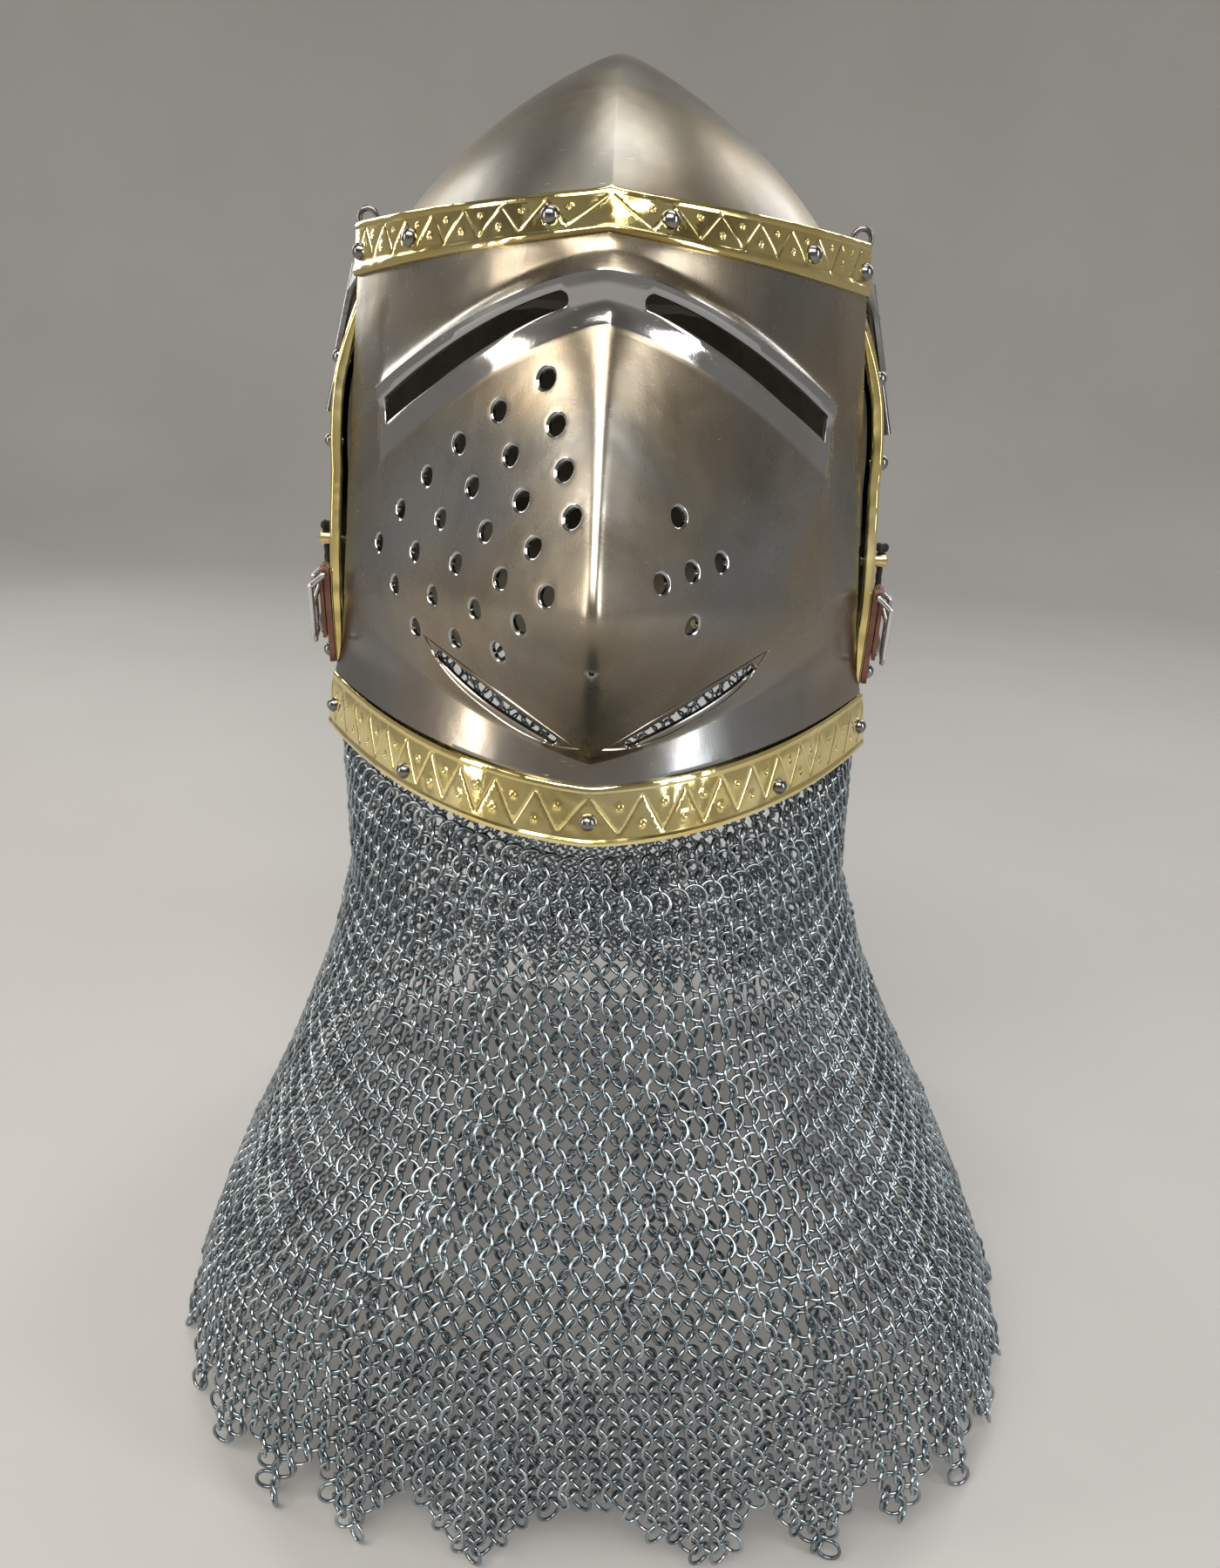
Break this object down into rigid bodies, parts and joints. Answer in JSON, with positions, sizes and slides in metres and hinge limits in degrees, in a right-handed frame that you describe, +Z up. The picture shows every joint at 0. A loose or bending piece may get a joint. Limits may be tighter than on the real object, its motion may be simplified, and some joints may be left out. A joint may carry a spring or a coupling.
{
  "type": "bascinet helmet",
  "caption": "Pointed-visor bascinet with brass bands, hinge pins that draw out, cheek buckles, a quilted liner and a dagged mail aventail.",
  "frame": {"origin": "the crown seat: the underside of the liner's crown, where the top of the head bears", "axes": "+Z up, the face looks along -Y, +X is the wearer's left"},
  "size_m": [0.4214, 0.4372, 0.572],
  "materials": {
    "steel": "satin, brushed along the form",
    "rivet_steel": "polished",
    "brass": "polished, engraved",
    "mail_steel": "bright wire rings",
    "buckle_chrome": "polished",
    "leather_dark": "matt dark brown",
    "leather_red": "matt reddish brown",
    "padding": "quilted linen",
    "cord_black": "waxed cord"
  },
  "bodies": {
    "skull_body": {"skull": "steel", "brow_trim": "brass", "cheek_trim_left": "brass", "cheek_trim_right": "brass", "trim_rivets": "rivet_steel", "pivot_bolts": "rivet_steel", "pivot_spacers": "rivet_steel", "pivot_washers": "rivet_steel", "pivot_nuts": "rivet_steel", "vervelles": "brass", "aventail_band": "leather_dark", "vervelle_cord": "cord_black", "liner": "padding", "liner_strap": "leather_dark", "liner_rivets": "rivet_steel", "buckle_tab_left": "leather_red", "buckle_tab_right": "leather_red", "buckle_rivets": "rivet_steel", "aventail": "mail_steel"},
    "visor": {"visor_plate": "steel", "visor_top_band": "brass", "visor_bottom_band": "brass", "top_band_rivets": "rivet_steel", "bottom_band_rivets": "rivet_steel", "hinge_leaf_left": "steel", "hinge_leaf_right": "steel", "pivot_arm_left": "steel", "pivot_arm_right": "steel"},
    "pin_left": {"hinge_pin_left": "rivet_steel"},
    "pin_right": {"hinge_pin_right": "rivet_steel"},
    "frame_left": {"buckle_frame_left": "buckle_chrome"},
    "frame_right": {"buckle_frame_right": "buckle_chrome"},
    "tongue_left": {"buckle_tongue_left": "buckle_chrome"},
    "tongue_right": {"buckle_tongue_right": "buckle_chrome"}
  },
  "joints": [
    {"name": "visor_swing", "type": "hinge", "parent": "skull_body", "child": "visor", "pos_m": [0, 0.03, -0.088], "axis": [-1, 0, 0], "range_deg": [0, 95]},
    {"name": "pin_draw_left", "type": "slide", "parent": "visor", "child": "pin_left", "axis": [-0.2504, 0, 0.9681], "range_m": [0, 0.08]},
    {"name": "pin_draw_right", "type": "slide", "parent": "visor", "child": "pin_right", "axis": [0.2504, 0, 0.9681], "range_m": [0, 0.08]},
    {"name": "frame_swing_left", "type": "hinge", "parent": "skull_body", "child": "frame_left", "pos_m": [0.12893, -0.01494, -0.19612], "axis": [-0.194, -0.981, 0], "range_deg": [0, 100]},
    {"name": "frame_swing_right", "type": "hinge", "parent": "skull_body", "child": "frame_right", "pos_m": [-0.12893, -0.01494, -0.19612], "axis": [-0.194, 0.981, 0], "range_deg": [0, 100]},
    {"name": "tongue_swing_left", "type": "hinge", "parent": "frame_left", "child": "tongue_left", "pos_m": [0.12893, -0.01494, -0.19612], "axis": [-0.194, -0.981, 0], "range_deg": [0, 60]},
    {"name": "tongue_swing_right", "type": "hinge", "parent": "frame_right", "child": "tongue_right", "pos_m": [-0.12893, -0.01494, -0.19612], "axis": [-0.194, 0.981, 0], "range_deg": [0, 60]}
  ]
}
